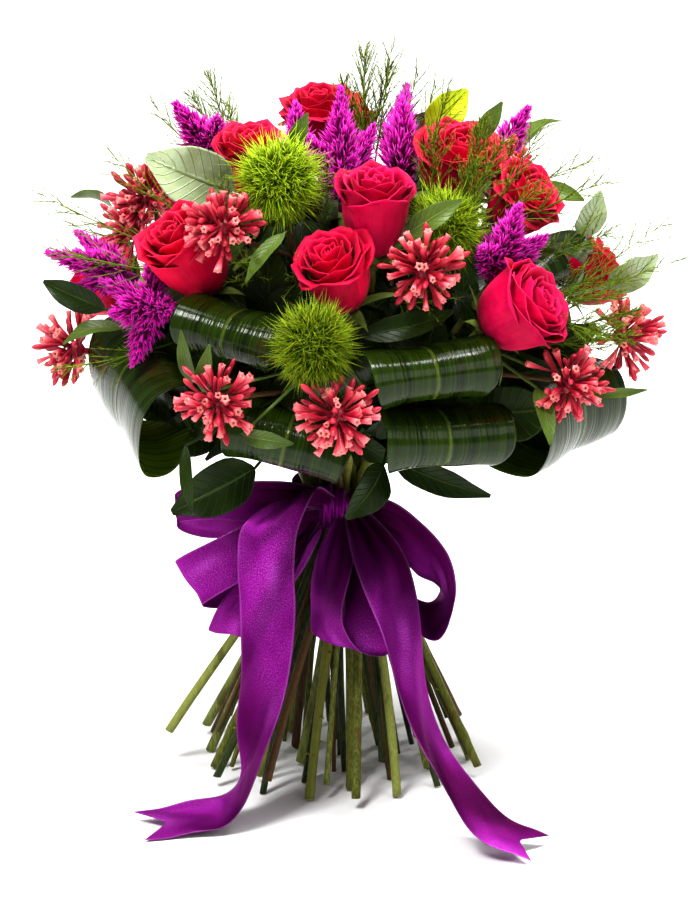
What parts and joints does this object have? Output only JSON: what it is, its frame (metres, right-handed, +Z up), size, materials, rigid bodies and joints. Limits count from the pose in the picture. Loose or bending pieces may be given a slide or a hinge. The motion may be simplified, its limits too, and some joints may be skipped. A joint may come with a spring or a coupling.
{
  "type": "rose bouquet",
  "caption": "Hand-tied bouquet standing on its spiralled cut stems: roses, dianthus balls, celosia plumes, red trumpet clusters and rolled leaves, bound with twine under a satin bow",
  "frame": {"origin": "centre of the flat cut end of the middle stem, on the surface that the bouquet stands on", "axes": "+Z points up along the bound stems, -Y points to the front where the bow is, +X points to the viewer's right"},
  "size_m": [0.4156, 0.4254, 0.4844],
  "materials": {
    "rose_petal": "soft velvety petal",
    "dianthus_green": "matt bristles",
    "celosia_plume": "matt plush",
    "trumpet_flower": "waxy",
    "aspidistra_leaf": "glossy leaf",
    "fern_green": "matt leaf",
    "stem_green": "waxy green bark",
    "twine": "raw jute",
    "satin": "satin weave"
  },
  "bodies": {
    "root": {"binding_twine": "twine", "celosia_back": "celosia_plume", "celosia_left": "celosia_plume", "celosia_left_front": "celosia_plume", "celosia_right": "celosia_plume", "celosia_top": "celosia_plume", "celosia_top_left": "celosia_plume", "celosia_top_right": "celosia_plume", "celosia_upper_left": "celosia_plume", "celosia_upper_right": "celosia_plume", "dianthus_back": "dianthus_green", "dianthus_back_left": "dianthus_green", "dianthus_front": "dianthus_green", "dianthus_right": "dianthus_green", "dianthus_upper_left": "dianthus_green", "fern_back_left": "fern_green", "fern_right": "fern_green", "fern_top": "fern_green", "fern_upper_right": "fern_green", "ribbon_band": "satin", "ribbon_bow": "satin", "ribbon_tail_left": "satin", "ribbon_tail_right": "satin", "rolled_leaf_back": "aspidistra_leaf", "rolled_leaf_back_left": "aspidistra_leaf", "rolled_leaf_back_right": "aspidistra_leaf", "rolled_leaf_front_left_lower": "aspidistra_leaf", "rolled_leaf_front_left_upper": "aspidistra_leaf", "rolled_leaf_front_right_lower": "aspidistra_leaf", "rolled_leaf_front_right_upper": "aspidistra_leaf", "rolled_leaf_left": "aspidistra_leaf", "rolled_leaf_right": "aspidistra_leaf", "rolled_leaf_right_upper": "aspidistra_leaf", "rolled_leaf_top": "aspidistra_leaf", "rose_back_left": "rose_petal", "rose_back_low": "rose_petal", "rose_back_right": "rose_petal", "rose_back_top": "rose_petal", "rose_centre": "rose_petal", "rose_front": "rose_petal", "rose_left": "rose_petal", "rose_left_side": "rose_petal", "rose_right_open": "rose_petal", "rose_right_shoulder": "rose_petal", "rose_right_side": "rose_petal", "rose_top": "rose_petal", "rose_upper_left": "rose_petal", "rose_upper_right": "rose_petal", "stems": "stem_green", "trumpets_back": "trumpet_flower", "trumpets_back_left": "trumpet_flower", "trumpets_centre": "trumpet_flower", "trumpets_front": "trumpet_flower", "trumpets_front_left": "trumpet_flower", "trumpets_front_right": "trumpet_flower", "trumpets_inner_left": "trumpet_flower", "trumpets_left": "trumpet_flower", "trumpets_right": "trumpet_flower", "trumpets_upper_left": "trumpet_flower", "trumpets_upper_right": "trumpet_flower"}
  },
  "joints": []
}
